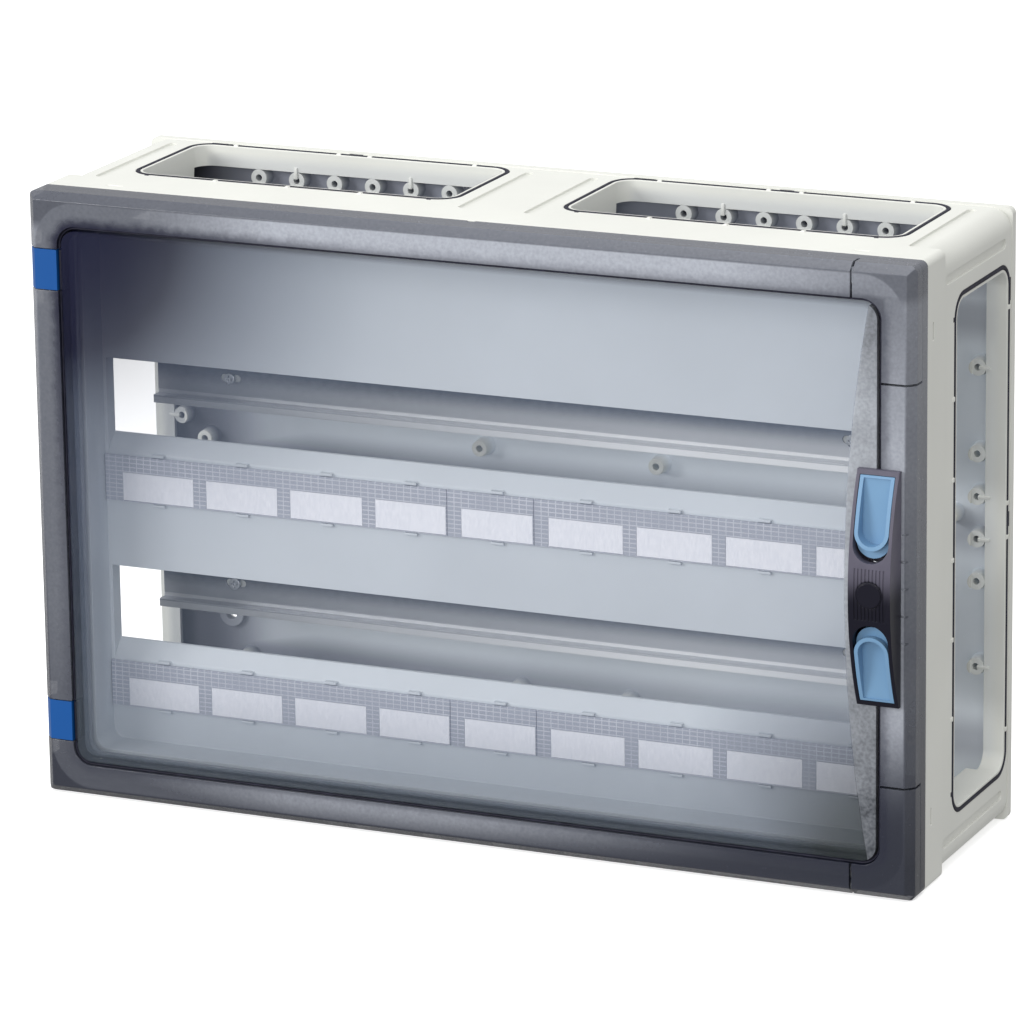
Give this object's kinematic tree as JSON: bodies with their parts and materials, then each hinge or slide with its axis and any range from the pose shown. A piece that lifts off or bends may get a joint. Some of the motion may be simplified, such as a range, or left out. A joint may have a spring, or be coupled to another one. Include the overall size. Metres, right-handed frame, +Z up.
{
  "type": "circuit breaker enclosure",
  "caption": "Wall-mounted enclosure for modular breakers: moulded base with flanged wall openings, device rows on rails, touch cover, smoked frame and hinged clear door with a latch handle.",
  "frame": {"origin": "centre of the wall-fixing hole pattern on the back plane", "axes": "+X to the right seen from the front, +Y into the wall, +Z up; the door faces -Y"},
  "size_m": [0.54, 0.1811, 0.36],
  "materials": {
    "base_plastic": "fine moulded",
    "seal_rubber": "matt",
    "post_plastic": "moulded",
    "plated_steel": "zinc plated",
    "zinc_rail": "zinc plated",
    "touch_cover_plastic": "smooth moulded",
    "strip_plastic": "translucent",
    "card_white": "plain card",
    "smoke_clear": "smoke tinted, finely grained",
    "door_clear": "lightly tinted, polished",
    "hinge_blue": "satin",
    "latch_blue": "satin",
    "handle_dark": "satin"
  },
  "bodies": {
    "enclosure": {"base_box": "base_plastic", "top_left_seal": "seal_rubber", "top_right_seal": "seal_rubber", "bottom_left_seal": "seal_rubber", "bottom_right_seal": "seal_rubber", "left_seal": "seal_rubber", "right_seal": "seal_rubber", "upper_left_post": "post_plastic", "upper_right_post": "post_plastic", "lower_left_post": "post_plastic", "lower_right_post": "post_plastic", "post_screws": "plated_steel", "upper_rail": "zinc_rail", "lower_rail": "zinc_rail", "rail_screws": "plated_steel", "touch_cover": "touch_cover_plastic", "touch_cover_screws": "plated_steel", "upper_label_strip": "strip_plastic", "lower_label_strip": "strip_plastic", "upper_label_cards": "card_white", "lower_label_cards": "card_white", "cover_seal": "seal_rubber", "cover_frame": "smoke_clear", "cover_screws": "plated_steel", "upper_corner_cap": "smoke_clear", "lower_corner_cap": "smoke_clear", "upper_hinge_pin": "plated_steel", "lower_hinge_pin": "plated_steel", "door_seal": "seal_rubber"},
    "door": {"door": "door_clear", "upper_hinge_block": "hinge_blue", "lower_hinge_block": "hinge_blue", "handle_housing": "handle_dark", "handle_screws": "plated_steel", "handle_plug": "handle_dark", "upper_latch_spring": "plated_steel", "lower_latch_spring": "plated_steel"},
    "upper_latch": {"upper_latch": "latch_blue"},
    "lower_latch": {"lower_latch": "latch_blue"}
  },
  "joints": [
    {"name": "door_hinge", "type": "hinge", "parent": "enclosure", "child": "door", "pos_m": [-0.261, -0.1575, 0], "axis": [0, 0, -1], "range_deg": [0, 115]},
    {"name": "upper_latch_slide", "type": "slide", "parent": "door", "child": "upper_latch", "axis": [0, 0, -1], "range_m": [0, 0.005], "stiffness_N_per_m": 600, "springref_m": -0.006, "deforming": ["upper_latch_spring"]},
    {"name": "lower_latch_slide", "type": "slide", "parent": "door", "child": "lower_latch", "axis": [0, 0, 1], "range_m": [0, 0.005], "stiffness_N_per_m": 600, "springref_m": -0.006, "deforming": ["lower_latch_spring"]}
  ]
}
